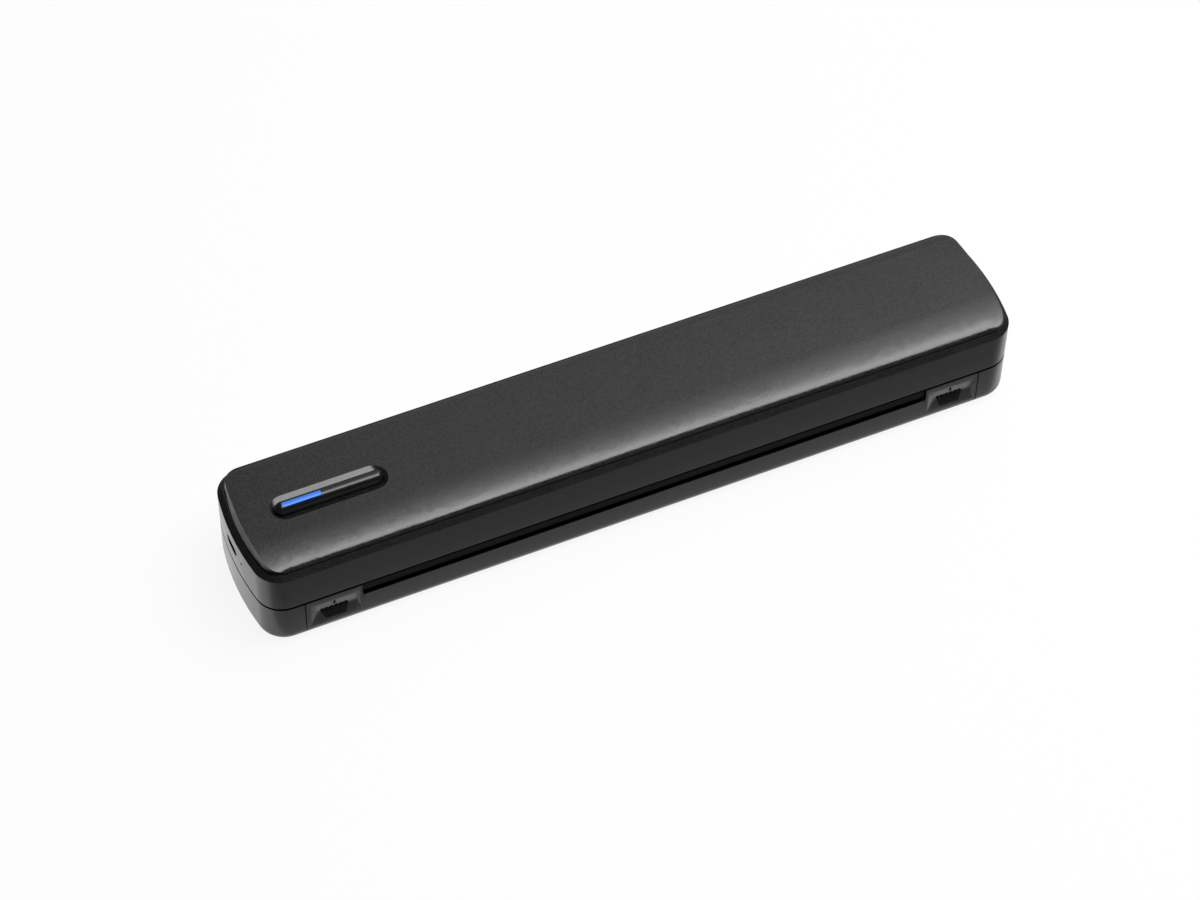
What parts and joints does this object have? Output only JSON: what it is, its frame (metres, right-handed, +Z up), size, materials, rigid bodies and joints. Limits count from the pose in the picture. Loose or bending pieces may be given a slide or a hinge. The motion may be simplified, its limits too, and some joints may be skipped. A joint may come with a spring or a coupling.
{
  "type": "portable thermal printer",
  "caption": "Slim bar-shaped thermal printer for full-width sheets: crowned top panel, bead-like power button, front paper slot with tear bar and a hinged roller cover.",
  "frame": {"origin": "centre of the casing's length and depth, on the table under the rubber feet", "axes": "+X along the casing away from the charging socket, +Y to the rear paper entry, +Z up; printed paper leaves towards -Y"},
  "size_m": [0.29, 0.052, 0.0424],
  "materials": {
    "case_grey": "fine matte grain",
    "panel_grey": "fine matte grain",
    "button_grey": "fine matte",
    "light_strip": "clear, lit blue",
    "grip_rubber": "matte",
    "roller_rubber": "ground matte",
    "dark_steel": "blackened",
    "bright_steel": "satin",
    "motor_steel": "drawn satin",
    "screw_steel": "blackened",
    "aluminium": "extruded satin",
    "ceramic_white": "glazed ceramic",
    "circuit_green": "solder mask",
    "black_plastic": "satin",
    "white_plastic": "satin",
    "brass": "machined",
    "cable_amber": "polyimide film",
    "cell_wrap": "shrink film",
    "lamp_white": "clear"
  },
  "bodies": {
    "case": {"upper_case": "case_grey", "top_panel": "panel_grey", "lower_case": "case_grey", "tear_bar": "dark_steel", "usb_shell": "bright_steel", "usb_tongue": "black_plastic", "reset_switch": "bright_steel", "main_board": "circuit_green", "main_chip": "black_plastic", "wireless_module": "bright_steel", "cable_connector": "white_plastic", "head_cable": "cable_amber", "button_board": "circuit_green", "power_switch": "bright_steel", "status_leds": "lamp_white", "battery_cells": "cell_wrap", "battery_saddles": "black_plastic", "motor": "motor_steel", "motor_flange": "motor_steel", "side_plate_left": "bright_steel", "side_plate_right": "bright_steel", "chassis_beam": "bright_steel", "head_pivot_pins": "bright_steel", "head_spring": "bright_steel", "gear_posts": "bright_steel", "gear_clips": "bright_steel", "upper_guide": "black_plastic", "entry_guide": "black_plastic", "paper_sensor": "black_plastic", "cover_sensor": "black_plastic", "hinge_pins": "bright_steel", "case_screws": "screw_steel", "chassis_screws": "screw_steel", "rubber_feet": "grip_rubber"},
    "cover": {"front_cover": "case_grey", "grip_pads": "grip_rubber", "paper_guide": "black_plastic", "platen_brackets": "black_plastic", "platen_bushes": "white_plastic"},
    "platen": {"platen_rubber": "roller_rubber", "platen_shaft": "bright_steel", "platen_gear": "white_plastic"},
    "idler": {"idler_gear": "white_plastic"},
    "compound": {"compound_gear": "white_plastic"},
    "pinion": {"motor_pinion": "brass", "motor_shaft": "bright_steel"},
    "head": {"head_heat_sink": "aluminium", "head_ceramic": "ceramic_white", "head_board": "circuit_green"},
    "button": {"power_button": "button_grey", "button_light_strip": "light_strip", "switch_plunger": "black_plastic"},
    "reset": {"reset_plunger": "black_plastic"}
  },
  "joints": [
    {"name": "cover_hinge", "type": "hinge", "parent": "case", "child": "cover", "pos_m": [0, 0.017, 0.0038], "axis": [1, 0, 0], "range_deg": [0, 60]},
    {"name": "platen_spin", "type": "hinge", "parent": "cover", "child": "platen", "pos_m": [0, -0.013, 0.0095], "axis": [1, 0, 0], "continuous": true},
    {"name": "idler_spin", "type": "hinge", "parent": "case", "child": "idler", "pos_m": [0, -0.01085, 0.0208], "axis": [1, 0, 0], "continuous": true},
    {"name": "compound_spin", "type": "hinge", "parent": "case", "child": "compound", "pos_m": [0, 0.00014, 0.0205], "axis": [1, 0, 0], "continuous": true},
    {"name": "motor_spin", "type": "hinge", "parent": "case", "child": "pinion", "pos_m": [0, 0.0105, 0.0255], "axis": [1, 0, 0], "continuous": true},
    {"name": "head_tilt", "type": "hinge", "parent": "case", "child": "head", "pos_m": [0, 0.0005, 0.01705], "axis": [-1, 0, 0], "range_deg": [0, 2], "stiffness_Nm_per_rad": 0.5, "springref_deg": -2.86, "deforming": ["head_spring"]},
    {"name": "button_press", "type": "slide", "parent": "case", "child": "button", "axis": [0, 0, -1], "range_m": [0, 0.0005], "stiffness_N_per_m": 500, "springref_m": -0.001},
    {"name": "reset_press", "type": "slide", "parent": "case", "child": "reset", "axis": [1, 0, 0], "range_m": [0, 0.0003], "stiffness_N_per_m": 500, "springref_m": -0.001}
  ],
  "couplings": [
    {"joint": "idler_spin", "follows": "platen_spin", "ratio": -0.91667},
    {"joint": "compound_spin", "follows": "platen_spin", "ratio": 1.1},
    {"joint": "motor_spin", "follows": "platen_spin", "ratio": -3.1167}
  ]
}
